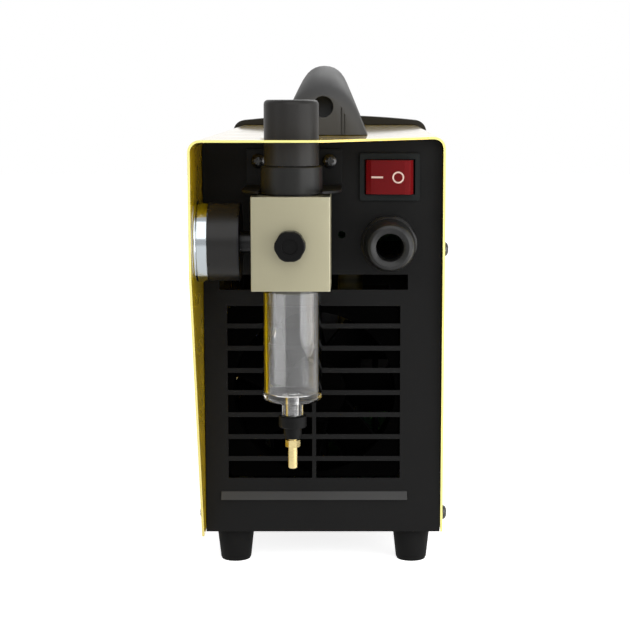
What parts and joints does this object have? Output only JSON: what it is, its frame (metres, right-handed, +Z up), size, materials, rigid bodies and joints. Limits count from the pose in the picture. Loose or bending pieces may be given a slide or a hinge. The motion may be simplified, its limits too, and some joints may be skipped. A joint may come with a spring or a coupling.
{
  "type": "plasma cutter unit",
  "caption": "Portable air plasma cutter: boxy sheet-metal case with carrying handle, rear vent grid, mains rocker, cable gland and a filter regulator with gauge under a rear hood.",
  "frame": {"origin": "centre of the footprint, on the surface that the feet stand on", "axes": "+Z up; +Y from the rear panel with the regulator towards the front panel; +X to the right of someone looking at the rear panel"},
  "size_m": [0.1346, 0.3886, 0.2686],
  "materials": {
    "yellow_paint": "gloss powder coat",
    "black_paint": "fine satin powder coat",
    "zinc": "bright zinc plate",
    "dark_plastic": "moulded, satin",
    "grey_plastic": "moulded, fine texture",
    "red_plastic": "translucent, glossy",
    "rubber": "matt",
    "black_screw": "black oxide, slightly glossy",
    "beige_cast": "beige enamel on die-cast metal",
    "clear_plastic": "clear, polished",
    "filter_mesh": "sintered, porous",
    "brass": "turned, bright",
    "chrome": "polished",
    "dial_white": "printed card",
    "pointer_black": "matt",
    "aluminium": "extruded, plain",
    "circuit_board": "green laminate",
    "winding_tape": "yellow winding tape",
    "hose_blue": "extruded, glossy"
  },
  "bodies": {
    "case": {"air_hose": "hose_blue", "base_tray": "zinc", "bowl": "clear_plastic", "bracket_screw_left": "black_screw", "bracket_screw_right": "black_screw", "control_board": "circuit_board", "cover": "yellow_paint", "display_window": "clear_plastic", "earth_socket": "dark_plastic", "fan_frame": "dark_plastic", "filter_element": "filter_mesh", "foot_left_front": "rubber", "foot_left_rear": "rubber", "foot_right_front": "rubber", "foot_right_rear": "rubber", "foot_screw_left_front": "zinc", "foot_screw_left_rear": "zinc", "foot_screw_right_front": "zinc", "foot_screw_right_rear": "zinc", "front_bezel": "dark_plastic", "front_panel": "black_paint", "gauge_case": "dark_plastic", "gauge_dial": "dial_white", "gauge_lens": "clear_plastic", "gauge_ring": "chrome", "gland_body": "dark_plastic", "gland_cap": "dark_plastic", "gland_locknut": "dark_plastic", "gland_seal": "rubber", "handle": "grey_plastic", "handle_screw_front": "zinc", "handle_screw_rear": "zinc", "heatsink": "aluminium", "inlet_plug": "dark_plastic", "main_board": "circuit_board", "outlet_nipple": "brass", "rear_panel": "black_paint", "regulator_body": "beige_cast", "regulator_bonnet": "dark_plastic", "regulator_bracket": "black_paint", "side_screw_left_front_lower": "black_screw", "side_screw_left_front_upper": "black_screw", "side_screw_left_rear_lower": "black_screw", "side_screw_left_rear_upper": "black_screw", "side_screw_right_front_lower": "black_screw", "side_screw_right_front_upper": "black_screw", "side_screw_right_rear_lower": "black_screw", "side_screw_right_rear_upper": "black_screw", "solenoid_valve": "brass", "switch_housing": "dark_plastic", "torch_connector": "brass", "transformer": "winding_tape"},
    "rocker": {"switch_rocker": "red_plastic"},
    "spindle": {"adjusting_screw": "zinc"},
    "knob": {"pressure_knob": "dark_plastic"},
    "drain_ring": {"drain_collar": "dark_plastic"},
    "drain_stem": {"drain_valve": "brass"},
    "pointer": {"gauge_pointer": "pointer_black"},
    "rotor": {"fan_rotor": "dark_plastic"},
    "current_dial": {"current_knob": "dark_plastic"}
  },
  "joints": [
    {"name": "rocker_tilt", "type": "hinge", "parent": "case", "child": "rocker", "pos_m": [0.0355, -0.1246, 0.2095], "axis": [0, 0, 1], "range_deg": [0, 18]},
    {"name": "spindle_turn", "type": "hinge", "parent": "case", "child": "spindle", "pos_m": [-0.0146, -0.1657, 0.223], "axis": [0, 0, 1], "range_deg": [-720, 720]},
    {"name": "knob_lift", "type": "slide", "parent": "spindle", "child": "knob", "axis": [0, 0, 1], "range_m": [0, 0.004]},
    {"name": "drain_ring_turn", "type": "hinge", "parent": "case", "child": "drain_ring", "pos_m": [-0.0146, -0.1657, 0.085], "axis": [0, 0, 1], "range_deg": [0, 90]},
    {"name": "drain_stem_slide", "type": "slide", "parent": "drain_ring", "child": "drain_stem", "axis": [0, 0, 1], "range_m": [0, 0.0005], "stiffness_N_per_m": 400, "springref_m": -0.001},
    {"name": "pointer_turn", "type": "hinge", "parent": "case", "child": "pointer", "pos_m": [-0.055, -0.1657, 0.179], "axis": [1, 0, 0], "range_deg": [0, 270], "stiffness_Nm_per_rad": 0.0005},
    {"name": "rotor_spin", "type": "hinge", "parent": "case", "child": "rotor", "pos_m": [-0.0047, -0.1107, 0.0943], "axis": [0, 1, 0], "continuous": true},
    {"name": "current_dial_turn", "type": "hinge", "parent": "case", "child": "current_dial", "pos_m": [0.028, 0.1843, 0.18], "axis": [0, -1, 0], "range_deg": [-150, 150]}
  ]
}
